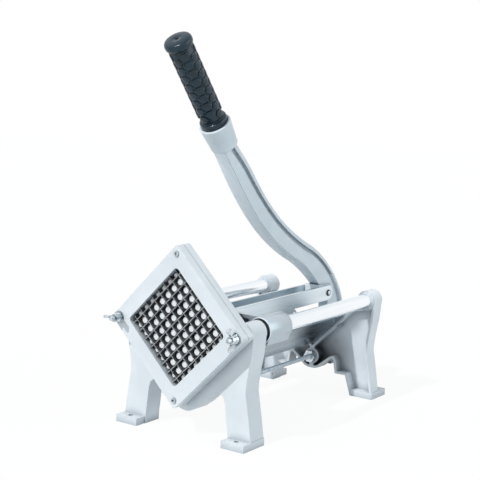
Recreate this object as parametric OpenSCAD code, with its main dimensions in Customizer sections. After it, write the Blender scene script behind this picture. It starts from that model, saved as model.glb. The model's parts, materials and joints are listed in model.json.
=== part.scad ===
// Lever-operated french fry cutter: a diamond-set blade grid in a cast head, and a
// pin-faced pusher that a long hand lever draws along two guide rods.
// +Z is up, -Y is the blade face, and the origin is on the bench in the middle of
// the four foot holes.

/* [Blade grid] */
// Width of one cut, blade to blade
cell = 12.7; // [12:0.1:13.4]
// Whole cells across the grid
cells = 7; // [6:1:7]
// Width of the part cell left along each wall
edge_cell = 7.35; // [7:0.05:7.8]
// Thickness of one blade
blade_t = 0.8; // [0.6:0.1:1]
// Depth of one blade from front to back
blade_depth = 7.6; // [6.5:0.1:7.8]
// Length of the ground edge at the back of a blade
blade_grind = 1.6; // [1:0.1:2]
// How far a blade end reaches into the holder wall
blade_seat = 5; // [3:0.5:8]
// Width of the holder wall round the opening
border = 18.9; // [18:0.1:20]
// Thickness of the blade holder
holder_t = 11.5; // [11:0.1:13]
// Corner radius of the opening
opening_r = 5; // [3:0.5:7]
// Corner radius of the square plates
plate_r = 3; // [1:0.5:5]

/* [Castings] */
// Height of the cutting axis and the guide rods above the bench
head_z = 136; // [132:1:142]
// Spacing of the foot holes from front to back
hole_span_y = 318; // [300:1:340]
// Depth of the parting groove between the blade holder and the flange
parting = 0.8; // [0.4:0.1:1.2]
// Thickness of the head flange behind the blade holder
flange_t = 11.8; // [10:0.1:14]
// Depth of the front casting behind its flange
front_depth = 26.7; // [24:0.1:30]
// Depth of the rear casting
rear_depth = 19; // [17:0.5:22]
// Thickness of the cast webs
web_t = 6; // [5:0.5:7]
// Thickness of the cast rims and ribs
rim_t = 3.2; // [3:0.1:4.5]
// Wall of the square tunnel in the head
tunnel_wall = 6; // [5:0.5:7]
// Radius of the ears that hold the guide rods
ear_r = 13.8; // [13:0.1:15]
// Distance from the opening's corner to a guide rod's axis
rod_gap = 10.94; // [10.5:0.1:12]
// Drop of the rounded chin below the plates
chin_drop = 6.7; // [5:0.1:8]

/* [Feet] */
// Width of one foot
foot_w = 33; // [30:0.5:36]
// Thickness of one foot
foot_t = 9.1; // [7:0.1:10]
// Distance of a foot hole inside the guide rod's axis
foot_inset = 2.2; // [1:0.1:4]
// Distance of the front foot holes behind the blade face
front_hole_back = 16.5; // [15:0.5:17]
// Distance from a foot hole to the free edge of its foot
foot_edge = 8.85; // [7:0.05:10]
// Distance of the rear casting's front plane before its foot holes
rear_hole_back = 28.5; // [27:0.5:31]
// Radius of the foot holes
foot_hole_r = 3.3; // [2.5:0.1:4]

/* [Rods] */
// Radius of a guide rod
rod_r = 9.5; // [9:0.1:10]
// Depth of a guide rod in each ear
rod_seat = 8; // [6:0.5:10]
// Radius of the tie rod
tie_r = 3.2; // [2.8:0.1:4]
// Height of the tie rod's axis above the bench
tie_z = 46; // [44:0.5:48]

/* [Trough] */
// Thickness of the trough sheet
sheet_t = 1.5; // [1:0.1:2]
// Outer bend radius at the bottom of the trough
bend_r = 10; // [6:0.5:12]
// Half width of the trough across its upper edges
trough_half = 50; // [46:0.5:52]
// Depth of the trough's seat in the head
trough_seat = 14; // [10:0.5:16]

/* [Pusher] */
// Clearance round the pusher block in the tunnel
block_gap = 1.3; // [0.8:0.1:1.8]
// Thickness of the pusher block's plate
block_t = 12; // [10:0.5:13]
// Distance of the pin tips behind the blade face
pin_back = 8; // [7:0.5:10]
// Distance of the block's back behind the blade face
block_back = 50; // [48:0.5:51]
// Radius of a full pin
pin_r = 3.8; // [3:0.1:4.2]
// Radius of a pin in a part cell
edge_pin_r = 2.4; // [2:0.1:2.6]
// Distance of the crosshead's front behind the blade face
cross_back = 55.5; // [55:0.5:57]
// Length of the crosshead along the rods
cross_len = 44.5; // [42:0.5:47]
// Outer radius of the crosshead's sleeves
sleeve_r = 16.4; // [16:0.1:17]
// Drop of the crosshead's skirt below the rods
skirt_drop = 28; // [26:0.5:30]
// Wall thickness of a rod bush
bush_t = 2.7; // [2:0.1:3]

/* [Linkage] */
// Height of a link bar
bar_h = 20.5; // [19:0.5:22]
// Thickness of a link bar
bar_t = 3; // [2.5:0.1:3.4]
// Width of the lever's hub between the link bars
hub_w = 24; // [23:0.5:25]
// Radius of the link pins
link_pin_r = 4; // [3.5:0.1:4.5]
// Distance of the front link pin behind the crosshead's front
front_pin_back = 32.5; // [32:0.5:33]
// Distance of the rear link pin behind the rear casting's front plane
rear_pin_back = 13.5; // [12:0.5:15]
// Distance of the lever's pivot behind the rear casting's front plane
pivot_back = 46; // [45:0.5:48]
// Height of the lever's pivot above the bench
pivot_z = 50; // [48:0.5:52]
// Radius of the lever's pivot bolt
pivot_r = 5; // [4.5:0.1:5.5]
// Depth of the round nose along the front of the lever's arm
nose_d = 10; // [8:0.5:12]
// Radius of the lever's boss round its pivot
boss_r = 16; // [15:0.5:17]

/* [Lever] */
// Distance from the link pin forward to the lower end of the grip
lever_reach = 252.5; // [240:1:262]
// Rise from the link pin to the lower end of the grip
lever_rise = 241; // [232:1:250]
// Forward lean of the grip
grip_lean = 37.7; // [37:0.1:39]
// Width of the lever's cast arm
arm_w = 15; // [13:0.5:16]
// Width of the flange along the back of the arm
rib_w = 23.2; // [20:0.2:23.6]
// Thickness of the flange along the back of the arm
rib_t = 3.4; // [3:0.2:5]
// Length of the round collar that holds the handle tube
collar_len = 35; // [30:1:40]
// Outer radius of the collar at the grip
collar_r = 20; // [19:0.1:21]

/* [Grip] */
// Length of the grip
grip_len = 124.5; // [115:0.5:135]
// Radius of the grip's body
grip_r = 14.3; // [14:0.1:15]
// Radius of the grip's lower ring
grip_ring_r = 17; // [16:0.1:17.5]
// Radius of the grip's end cap
grip_cap_r = 17.3; // [16:0.1:18]
// Length of the grip's end cap
grip_cap_len = 10; // [8:0.5:12]
// Outer radius of the handle tube
tube_r = 11; // [10:0.1:12]
// Wall of the handle tube
tube_wall = 2; // [1.5:0.1:3]

/* [Fasteners] */
// Radius of the wing-nut studs
stud_r = 3; // [2.5:0.1:3.5]
// Distance of studs and screws from the plate's corner
stud_edge = 11.2; // [10.5:0.1:12]
// Tip-to-tip span of a wing nut
wing_span = 28; // [26:0.5:30]
// Across-corners radius of the tie rod's nuts
tie_nut_r = 9; // [8:0.1:9.5]
// Radius of the holder screws' heads
screw_head_r = 3.4; // [3:0.1:4.5]

/* [Hidden] */
$fn = 48;

// Overrun of every cut
cut = 1;
// Radial clearance of fixed joints
fit = 0.02;
// Radial clearance of running joints
run = 0.05;
// Gap between faces that rest on each other
face_gap = 0.05;

// Sizes of the grid and the square plates
opening = cells * cell + 2 * edge_cell;
opening_half = opening / 2;
opening_diag = opening_half * sqrt(2);
plate = opening + 2 * border;
plate_diag = plate / sqrt(2);
corner_x = plate_diag - stud_edge;
blades = cells + 1;

// Stations along Y
face_y = -hole_span_y / 2 - front_hole_back;
flange_y = face_y + holder_t;
web_y = flange_y + flange_t;
front_back_y = web_y + front_depth;
rear_y = hole_span_y / 2 - rear_hole_back;
rear_web_y = rear_y + rear_depth - web_t;
rear_back_y = rear_y + rear_depth;
blade_y = flange_y - blade_depth - 0.2 * blade_t;
cross_y = face_y + cross_back;
cross_end_y = cross_y + cross_len;

// Places across X and Z
rod_x = opening_diag + rod_gap;
foot_x = rod_x - foot_inset;
chin_z = head_z - plate_diag - chin_drop;
valley_z = head_z - (opening_half + sheet_t + face_gap) * sqrt(2);

// Pins of the linkage
front_pin_y = cross_y + front_pin_back;
rear_pin_y = rear_y + rear_pin_back;
pivot_y = rear_y + pivot_back;
bar_gap = 0.4;
bar_x = hub_w / 2 + bar_gap;

// Leg outlines from the bench up: height as a share of head_z, half width as a share of rod_x
leg_outer_shares = [[0, 1.158], [0.07, 1.158], [0.34, 1.09], [0.48, 1.049], [0.52, 1.05],
    [0.65, 1.077], [0.81, 1.128], [1, 1.16]];
leg_inner_shares = [[0, 0.765], [0.06, 0.76], [0.36, 0.699], [0.41, 0.67], [0.435, 0.62],
    [0.437, 0.55]];
// Chin outline: half width as a share of rod_x, rise above the chin as a share of head_z
chin_shares = [[0.41, 0.162], [0.26, 0.078], [0.14, 0.024], [0.07, 0.006], [0, 0]];
// Inner outline of the rear legs: half width of rod_x, height of head_z
rear_inner_shares = [[0.76, 0], [0.657, 0.2], [0.46, 0.2], [0.425, 0.325], [0.4, 0.348],
    [0.365, 0.34], [0.13, 0.225], [0.07, 0.213], [0, 0.212]];

// Arm contours from the collar to the hub: share of lever_reach, share of lever_rise
front_upper_shares = [[-0.987, 0.86], [-0.842, 0.659], [-0.537, 0.338], [-0.318, 0.229]];
front_lower_shares = [[-0.318, 0.229], [-0.238, 0.189], [-0.128, 0.121], [-0.061, 0.06]];
rear_upper_shares = [[-0.87, 0.922], [-0.658, 0.615], [-0.371, 0.404], [-0.12, 0.267]];
rear_lower_shares = [[-0.12, 0.267], [-0.019, 0.212], [0.184, 0.017], [0.193, -0.151]];

// Point at share t of a cubic curve
function bezier(p, t) = pow(1 - t, 3) * p[0] + 3 * t * pow(1 - t, 2) * p[1]
    + 3 * t * t * (1 - t) * p[2] + pow(t, 3) * p[3];
function curve(p, n) = [for (i = [0 : n]) bezier(p, i / n)];
// Two curves joined end to end
function joined(p, q, n) = concat(curve(p, n), [for (i = [1 : n]) bezier(q, i / n)]);
// Curve moved sideways by d
function aside(p, d) = [for (i = [0 : len(p) - 1])
    let (a = p[max(i - 1, 0)], b = p[min(i + 1, len(p) - 1)], u = (b - a) / norm(b - a))
    p[i] + d * [u[1], -u[0]]];
function backwards(p) = [for (i = [len(p) - 1 : -1 : 0]) p[i]];
function mirrored(p) = [for (q = backwards(p)) [-q[0], q[1]]];
// Closed counter-clockwise outline drawn in by d
function inset(p, d) = [for (i = [0 : len(p) - 1])
    let (n = len(p), a = p[(i + n - 1) % n], b = p[i], c = p[(i + 1) % n],
        u = (b - a) / norm(b - a), v = (c - b) / norm(c - b),
        m = [-u[1], u[0]], k = [-v[1], v[0]])
    b + d * (m + k) / (1 + m * k)];
function scaled(p, x, z) = [for (q = p) [q[0] * x, q[1] * z]];

// Arm point given in shares of the reach and the rise, from the rear link pin
function arm(p) = [for (q = p) [rear_pin_y + q[0] * lever_reach, head_z + q[1] * lever_rise]];
front_contour = joined(arm(front_upper_shares), arm(front_lower_shares), 8);
rear_contour = joined(arm(rear_upper_shares), arm(rear_lower_shares), 8);

// Front view outline (x, z), extruded along Y from y0
module slab(y0, t) {
    translate([0, y0 + t, 0]) rotate([90, 0, 0]) linear_extrude(t) children();
}
// Side view outline (y, z), extruded along X about x0
module sheet(x0, t) {
    translate([x0 - t / 2, 0, 0]) rotate([90, 0, 90]) linear_extrude(t) children();
}
// Round bar along Y
module along_y(x, z, y0, y1, r) {
    translate([x, y0, z]) rotate([-90, 0, 0]) cylinder(h = y1 - y0, r = r);
}
// Round bar along X, centred on x = 0
module along_x(y, z, w, r) {
    translate([-w / 2, y, z]) rotate([0, 90, 0]) cylinder(h = w, r = r);
}
// Hexagonal bar along Y
module hex_y(x, z, y0, y1, r) {
    translate([x, y0, z]) rotate([-90, 0, 0]) cylinder(h = y1 - y0, r = r, $fn = 6);
}
module both_sides() {
    children();
    mirror([1, 0, 0]) children();
}
// Square with round corners, centred
module rounded_square(side, r) {
    square([side, side - 2 * r], center = true);
    square([side - 2 * r, side], center = true);
    for (x = [-1, 1], z = [-1, 1]) translate([x, z] * (side / 2 - r)) circle(r);
}
// The same square standing on its corner at the cutting axis
module diamond(side, r) {
    translate([0, head_z]) rotate(45) rounded_square(side, r);
}
// Foot with its hole, from y0 to y1
module foot(x, y0, y1, hole_y) {
    difference() {
        translate([x - foot_w / 2, y0, 0]) cube([foot_w, y1 - y0, foot_t]);
        translate([x, hole_y, -cut]) cylinder(h = foot_t + 2 * cut, r = foot_hole_r);
    }
}

// Right half of the front casting's legs, chin and head, counter-clockwise
front_half = concat(
    [for (p = backwards(chin_shares)) [p[0] * rod_x, chin_z + p[1] * head_z]],
    [for (p = backwards(leg_inner_shares)) [p[1] * rod_x, p[0] * head_z]],
    [for (p = leg_outer_shares) [p[1] * rod_x, p[0] * head_z]],
    [[0, head_z]]);
// Right half of the rear casting: valley, legs and ear
rear_half = concat(
    [for (p = backwards(rear_inner_shares)) [p[0] * rod_x, p[1] * head_z]],
    [for (p = leg_outer_shares) [p[1] * rod_x, p[0] * head_z]],
    [[rod_x, head_z], [rod_x - ear_r / 4, head_z - 0.75 * ear_r],
        [0.96 * trough_half + ear_r, head_z - 1.1 * ear_r],
        [0.96 * trough_half, valley_z + 0.96 * trough_half], [0, valley_z]]);

module ear(y0, t) {
    along_y(rod_x, head_z, y0, y0 + t, ear_r);
}

// V-shaped trough profile with its inner faces d from the cutting axis
module trough_profile(d, t, half, r) {
    reach = half * sqrt(2) - bend_r;
    translate([0, head_z]) rotate(45) difference() {
        union() {
            translate([-d - t, -d - t]) translate([r, 0]) square([reach + bend_r - r, t]);
            translate([-d - t, -d - t]) translate([0, r]) square([t, reach + bend_r - r]);
            intersection() {
                translate([r - d - t, r - d - t]) circle(r);
                translate([-d - t, -d - t]) square(r);
            }
        }
        intersection() {
            translate([r - d - t, r - d - t]) circle(r - t);
            translate([-d - t, -d - t]) square(r);
        }
    }
}

module front_casting() {
    color([0.87, 0.89, 0.91]) difference() {
        union() {
            slab(flange_y, flange_t) diamond(plate - 2 * parting, plate_r);
            slab(flange_y + parting, flange_t - parting) diamond(plate, plate_r);
            difference() {
                slab(web_y, front_depth) both_sides() polygon(front_half);
                slab(web_y + web_t, front_depth) both_sides() difference() {
                    polygon(inset(front_half, rim_t));
                    diamond(opening + 2 * tunnel_wall, opening_r);
                    translate([0, tie_z]) circle(3 * tie_r);
                    translate([rod_x, head_z]) circle(ear_r);
                }
            }
            slab(web_y, front_depth - trough_seat) diamond(opening + 2 * tunnel_wall, opening_r);
            slab(web_y, front_depth) intersection() {
                diamond(opening + 2 * tunnel_wall, opening_r);
                translate([-plate, 0]) square([2 * plate, head_z]);
            }
            both_sides() ear(web_y, front_depth);
            both_sides() foot(foot_x, face_y + front_hole_back - foot_edge, front_back_y,
                face_y + front_hole_back);
        }
        slab(flange_y - cut, flange_t + front_depth + 2 * cut) diamond(opening, opening_r);
        slab(front_back_y - trough_seat, trough_seat + cut)
            trough_profile(opening_half - cut, sheet_t + cut + face_gap, trough_half + cut,
                bend_r + face_gap);
        both_sides() along_y(rod_x, head_z, front_back_y - rod_seat, front_back_y + cut,
            rod_r + fit);
        both_sides() along_y(corner_x, head_z, flange_y - cut, web_y, stud_r + fit);
        for (z = [-1, 1]) along_y(0, head_z + z * corner_x, flange_y - cut, web_y,
            screw_head_r / 2 + fit);
        along_y(0, tie_z, web_y + web_t, front_back_y + cut, tie_r + fit);
    }
}

module rear_casting() {
    lug_t = boss_r / 2;
    color([0.87, 0.89, 0.91]) difference() {
        union() {
            difference() {
                slab(rear_y, rear_depth) both_sides() polygon(rear_half);
                slab(rear_y - cut, rear_depth - web_t + cut) both_sides() difference() {
                    polygon(inset(rear_half, rim_t));
                    translate([-rim_t, 0]) square([1.5 * rim_t, tie_z]);
                    translate([0, tie_z]) circle(3.4 * tie_r);
                    translate([rod_x, head_z]) circle(ear_r);
                }
            }
            both_sides() ear(rear_y, rear_depth);
            both_sides() along_y(rod_x, head_z, rear_y - rod_r / 4, rear_y, rod_r + rod_r / 4);
            both_sides() foot(foot_x, rear_y, rear_y + rear_hole_back + foot_edge,
                rear_y + rear_hole_back);
            both_sides() difference() {
                union() {
                    translate([hub_w / 2 + bar_gap, pivot_y, pivot_z]) rotate([0, 90, 0])
                        cylinder(h = lug_t, r = boss_r);
                    translate([hub_w / 2 + bar_gap, rear_back_y, pivot_z - boss_r])
                        cube([lug_t, pivot_y - rear_back_y, 2 * boss_r]);
                }
            }
        }
        both_sides() along_y(rod_x, head_z, rear_y - rod_seat, rear_y + rod_seat, rod_r + fit);
        both_sides() along_y(rod_x, head_z, rear_y, rear_back_y + cut, rod_r / 2 + fit);
        along_y(0, tie_z, rear_y - cut, rear_back_y + cut, tie_r + fit);
        along_x(pivot_y, pivot_z, 4 * hub_w, pivot_r + fit);
        trough_fixings(trough_screw_r + fit, 4 * rim_t, 4 * rim_t);
    }
}

// Cylinders square to the trough's faces where it is screwed to the rear casting
trough_screw_r = 2;
trough_screw_y = rear_y + (rear_depth - web_t) / 2;
module trough_fixings(r, up, down, sides = 48) {
    both_sides() translate([0, trough_screw_y, head_z]) rotate([0, 45, 0])
        translate([opening_half - trough_half, 0, -opening_half - down])
        cylinder(h = down + up, r = r, $fn = sides);
}

module blade_holder() {
    color([0.9, 0.92, 0.94]) difference() {
        slab(face_y, holder_t) diamond(plate, plate_r);
        slab(face_y - cut, holder_t + 2 * cut) diamond(opening, opening_r);
        for (turn = [45, -45]) translate([0, blade_y - face_gap, head_z]) rotate([0, turn, 0])
            blade_row(blade_t + 2 * face_gap, opening + 2 * blade_seat + 2 * face_gap,
                flange_y - blade_y + face_gap + cut);
        both_sides() along_y(corner_x, head_z, face_y - cut, flange_y + cut, stud_r + run);
        for (z = [-1, 1]) along_y(0, head_z + z * corner_x, face_y - cut, flange_y + cut,
            screw_head_r / 2 + run);
    }
}

// Row of plain bars where the blades stand
module blade_row(t, length, depth) {
    for (i = [0 : blades - 1]) translate([(i - (blades - 1) / 2) * cell - t / 2, 0, -length / 2])
        cube([t, depth, length]);
}
// Row of ground blades, half-lapped on the side given by lap
module blade_set(lap) {
    length = opening + 2 * blade_seat;
    half = blade_depth / 2;
    for (i = [0 : blades - 1]) translate([(i - (blades - 1) / 2) * cell, 0, 0]) difference() {
        translate([0, 0, -length / 2]) linear_extrude(length)
            polygon([[-blade_t / 2, 0], [blade_t / 2, 0], [blade_t / 2, blade_depth - blade_grind],
                [0, blade_depth], [-blade_t / 2, blade_depth - blade_grind]]);
        for (j = [0 : blades - 1])
            translate([-blade_t, lap > 0 ? half - face_gap : -cut,
                (j - (blades - 1) / 2) * cell - blade_t / 2 - face_gap])
            cube([2 * blade_t, half + face_gap + cut, blade_t + 2 * face_gap]);
    }
}
module blades_rising() {
    color([0.8, 0.83, 0.86]) translate([0, blade_y, head_z]) rotate([0, 45, 0]) blade_set(1);
}
module blades_falling() {
    color([0.76, 0.79, 0.82]) translate([0, blade_y, head_z]) rotate([0, -45, 0]) blade_set(-1);
}

module holder_screws() {
    head_t = screw_head_r / 2;
    color([0.75, 0.79, 0.82]) for (z = [-1, 1]) {
        along_y(0, head_z + z * corner_x, face_y - head_t - face_gap, face_y - face_gap, screw_head_r);
        along_y(0, head_z + z * corner_x, face_y - head_t, web_y - cut, screw_head_r / 2);
    }
}

stud_len = 2.6 * stud_r * 2;
washer_t = 1.3;
module wing_studs() {
    color([0.75, 0.79, 0.82]) both_sides()
        along_y(corner_x, head_z, face_y - stud_len, web_y - cut, stud_r);
}
module wing_washers() {
    color([0.7, 0.74, 0.77]) both_sides() difference() {
        along_y(corner_x, head_z, face_y - face_gap - washer_t, face_y - face_gap, 2.5 * stud_r);
        along_y(corner_x, head_z, face_y - 2 * washer_t, face_y + cut, stud_r + run);
    }
}
// Wing nut on the stud at x, its wings turned from level
module wing_nut(x, turn) {
    back = face_y - 2 * face_gap - washer_t;
    reach = wing_span / 2;
    difference() {
        union() {
            translate([x, back, head_z]) rotate([90, 0, 0])
                cylinder(h = 3 * stud_r, r1 = 2.1 * stud_r, r2 = 1.6 * stud_r);
            translate([x, back, head_z]) rotate([0, turn, 0]) both_sides()
                rotate([180, 0, 0]) translate([0, 0, -0.4 * stud_r]) linear_extrude(0.8 * stud_r) {
                polygon([[1.2 * stud_r, 0.6 * stud_r], [2 * stud_r, 0.5 * stud_r],
                    [0.98 * reach, 0.55 * reach], [0.68 * reach, 0.95 * reach],
                    [1.2 * stud_r, 2.2 * stud_r]]);
                translate([0.78 * reach, 0.74 * reach]) circle(0.22 * reach);
            }
        }
        along_y(x, head_z, face_y - 3 * reach, face_y + cut, stud_r + run);
    }
}
module wing_nut_left() {
    color([0.75, 0.79, 0.82]) wing_nut(-corner_x, 4);
}
module wing_nut_right() {
    color([0.75, 0.79, 0.82]) wing_nut(corner_x, 83);
}

module guide_rod(side) {
    bolt_r = rod_r / 2;
    color([0.85, 0.9, 0.93]) difference() {
        along_y(side * rod_x, head_z, front_back_y - rod_seat + face_gap,
            rear_y + rod_seat - face_gap, rod_r);
        along_y(side * rod_x, head_z, rear_y - 2 * rod_seat, rear_y + rod_seat + cut, bolt_r + fit);
    }
}
module guide_rod_left() {
    guide_rod(-1);
}
module guide_rod_right() {
    guide_rod(1);
}
module guide_rod_bolts() {
    head_t = rod_r / 2;
    color([0.72, 0.76, 0.8]) both_sides() {
        along_y(rod_x, head_z, rear_y - rod_seat, rear_back_y + washer_t + head_t, rod_r / 2);
        hex_y(rod_x, head_z, rear_back_y + washer_t + 2 * face_gap,
            rear_back_y + washer_t + 2 * face_gap + head_t, 0.9 * rod_r);
    }
}
module guide_rod_washers() {
    color([0.7, 0.74, 0.77]) both_sides() difference() {
        along_y(rod_x, head_z, rear_back_y + face_gap, rear_back_y + face_gap + washer_t,
            1.1 * rod_r);
        along_y(rod_x, head_z, rear_back_y - cut, rear_back_y + 2 * washer_t, rod_r / 2 + fit);
    }
}

tie_nut_t = 2.1 * tie_r;
module tie_rod() {
    color([0.78, 0.83, 0.86])
        along_y(0, tie_z, web_y + web_t + face_gap, rear_back_y + tie_nut_t, tie_r);
}
module tie_rod_nuts() {
    color([0.75, 0.79, 0.82]) for (y = [front_back_y + face_gap, rear_y - tie_nut_t - face_gap,
        rear_back_y + face_gap]) difference() {
        hex_y(0, tie_z, y, y + 0.9 * tie_nut_t, tie_nut_r);
        along_y(0, tie_z, y - cut, y + tie_nut_t + cut, tie_r + fit);
    }
}

module potato_trough() {
    color([0.62, 0.66, 0.7]) difference() {
        slab(front_back_y - trough_seat + face_gap,
            rear_back_y - rim_t - front_back_y + trough_seat)
            trough_profile(opening_half, sheet_t, trough_half, bend_r);
        trough_fixings(trough_screw_r + fit, sheet_t, 2 * sheet_t);
    }
}
module trough_screws() {
    head_t = trough_screw_r;
    color([0.75, 0.79, 0.82]) {
        trough_fixings(trough_screw_r, head_t, sheet_t + 2 * rim_t);
        trough_fixings(1.9 * trough_screw_r, head_t, -face_gap);
    }
}
module trough_nuts() {
    under = sheet_t + rim_t + 2 * face_gap;
    color([0.75, 0.79, 0.82]) difference() {
        trough_fixings(2.2 * trough_screw_r, -under, under + 1.6 * trough_screw_r, 6);
        trough_fixings(trough_screw_r + fit, 0, under + 4 * trough_screw_r);
    }
}

// Outline of the crosshead in front view
module crosshead_outline() {
    both_sides() {
        translate([rod_x, head_z]) circle(sleeve_r);
        polygon([[0, head_z - skirt_drop], [rod_x + 0.3 * sleeve_r, head_z - skirt_drop],
            [rod_x + 0.78 * sleeve_r, head_z - 0.62 * sleeve_r], [rod_x, head_z + sleeve_r],
            [0, head_z + sleeve_r]]);
    }
}
// Side view of the body behind the crosshead's front plate, drawn in by d
module crosshead_side(d) {
    top = head_z + sleeve_r - d;
    low = head_z - skirt_drop + d;
    polygon([[cross_y - cut, low], [cross_end_y - d, low],
        [cross_end_y - d, head_z + 0.15 * sleeve_r - d],
        [cross_y + cross_len / 2, head_z + 0.15 * sleeve_r - d],
        [cross_y + 2 * rim_t, top], [cross_y - cut, top]]);
}
module pusher_crosshead() {
    wall = 1.34 * rim_t;
    slot_half = bar_x + bar_t + 5 * bar_gap;
    slot_z = head_z - bar_h / 2 - wall;
    pocket_x = slot_half + wall;
    pocket_w = rod_x - sleeve_r - pocket_x;
    clear = 3;
    lug_half = hub_w / 2 - bar_gap;
    color([0.82, 0.85, 0.88]) difference() {
        union() {
            difference() {
                union() {
                    slab(cross_y, 2 * wall) crosshead_outline();
                    both_sides() along_y(rod_x, head_z, cross_y, cross_end_y, sleeve_r);
                    intersection() {
                        slab(cross_y, cross_len) crosshead_outline();
                        sheet(0, 4 * rod_x) crosshead_side(0);
                    }
                    slab(face_y + block_back + face_gap, pad_t)
                        diamond(pad_half * sqrt(2), opening_r);
                }
                both_sides() translate([pocket_x + pocket_w / 2, 0, 0]) sheet(0, pocket_w)
                    crosshead_side(wall);
                translate([-slot_half, front_pin_y - bar_h / 2 - 2, slot_z])
                    cube([2 * slot_half, cross_len, 4 * sleeve_r]);
                slab(face_y, cross_len + cross_back + cut) trough_profile(opening_half - clear,
                    sheet_t + 2 * clear, trough_half + 2 * clear, bend_r);
            }
            sheet(0, 2 * lug_half) polygon([
                [front_pin_y - 2.4 * link_pin_r, slot_z - wall / 2],
                [cross_end_y - wall / 2, slot_z - wall / 2],
                [front_pin_y + 2.8 * link_pin_r, head_z + 1.2 * link_pin_r],
                [front_pin_y - 2.4 * link_pin_r, head_z + 1.2 * link_pin_r]]);
        }
        sheet(0, 4 * lug_half) polygon([
            [front_pin_y - link_pin_r - face_gap, head_z],
            [front_pin_y + 0.88 * link_pin_r, head_z - 0.52 * link_pin_r],
            [front_pin_y + 3 * link_pin_r, head_z + 3 * link_pin_r],
            [front_pin_y - link_pin_r - face_gap, head_z + 3 * link_pin_r]]);
        along_x(front_pin_y, head_z, 4 * lug_half, link_pin_r + run);
        both_sides() along_y(rod_x, head_z, cross_y + cross_len / 6, cross_end_y + cut,
            rod_r + run + bush_t + fit);
        both_sides() along_y(rod_x, head_z, cross_y - cut, cross_y + cross_len / 5,
            rod_r + run + bush_t + fit);
        block_fixings(screw_r + fit, pad_t + cut);
    }
}

// Pad of the crosshead that the block is screwed to, and the three screws
pad_t = cross_back - block_back + 2 * rim_t;
pad_half = 2.8 * sleeve_r;
screw_r = 2.5;
module block_fixings(r, length, start = -block_t / 2) {
    for (p = [[-0.26, 0.57], [0.26, 0.57], [0, -0.78]])
        along_y(p[0] * pad_half, head_z + p[1] * pad_half, face_y + block_back + start,
            face_y + block_back + length, r);
}

module pusher_block() {
    color([0.85, 0.87, 0.89]) difference() {
        slab(face_y + block_back - block_t, block_t) diamond(opening - 2 * block_gap, opening_r);
        block_fixings(screw_r + fit, cut);
    }
}
// One pin for each whole cell, and a thinner one for each part cell along the walls
module pusher_pins() {
    pin_len = block_back - block_t - pin_back;
    first = (cells - 1) / 2;
    edge = (cells + edge_cell / cell) / 2;
    color([0.9, 0.92, 0.94]) translate([0, face_y + pin_back, head_z]) rotate([0, 45, 0]) {
        for (i = [-first : first], j = [-first : first])
            translate([i * cell, 0, j * cell]) rotate([-90, 0, 0]) cylinder(h = pin_len, r = pin_r, $fn = 20);
        for (i = [-first : first], turn = [0 : 90 : 270]) rotate([0, turn, 0])
            translate([i * cell, 0, edge * cell]) rotate([-90, 0, 0])
            cylinder(h = pin_len, r = edge_pin_r, $fn = 16);
    }
}
module block_screws() {
    under = pad_t + 2 * face_gap;
    color([0.75, 0.79, 0.82]) {
        block_fixings(screw_r, under + screw_r / 2, face_gap - block_t / 2);
        block_fixings(1.7 * screw_r, under + screw_r, under);
    }
}

module sleeve_bush(side) {
    color([0.72, 0.6, 0.35]) difference() {
        along_y(side * rod_x, head_z, cross_y + cross_len / 5, cross_end_y - face_gap,
            rod_r + run + bush_t);
        along_y(side * rod_x, head_z, cross_y, cross_end_y + cut, rod_r + run);
    }
}
module sleeve_bush_left() {
    sleeve_bush(-1);
}
module sleeve_bush_right() {
    sleeve_bush(1);
}

module link_bar(side) {
    color([0.66, 0.7, 0.74]) difference() {
        sheet(side * (bar_x + bar_t / 2), bar_t) {
            translate([front_pin_y, head_z]) circle(bar_h / 2);
            translate([rear_pin_y, head_z]) circle(bar_h / 2);
            translate([front_pin_y, head_z - bar_h / 2]) square([rear_pin_y - front_pin_y, bar_h]);
        }
        along_x(front_pin_y, head_z, 4 * hub_w, link_pin_r + fit);
        along_x(rear_pin_y, head_z, 4 * hub_w, link_pin_r + fit);
    }
}
module link_bar_left() {
    link_bar(-1);
}
module link_bar_right() {
    link_bar(1);
}
// Pin through both bars, riveted over a washer at each end
module link_pin(y) {
    end = bar_x + bar_t;
    color([0.7, 0.74, 0.78]) {
        along_x(y, head_z, 2 * end + 0.6 * link_pin_r, link_pin_r);
    }
}
module link_front_pin() {
    link_pin(front_pin_y);
}
module link_rear_pin() {
    link_pin(rear_pin_y);
}

// Axis of the grip: local +Z runs up the handle from the grip's lower end
module on_handle() {
    translate([0, rear_pin_y - lever_reach, head_z + lever_rise]) rotate([grip_lean, 0, 0])
        children();
}
socket = 0.8 * collar_len;
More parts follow.
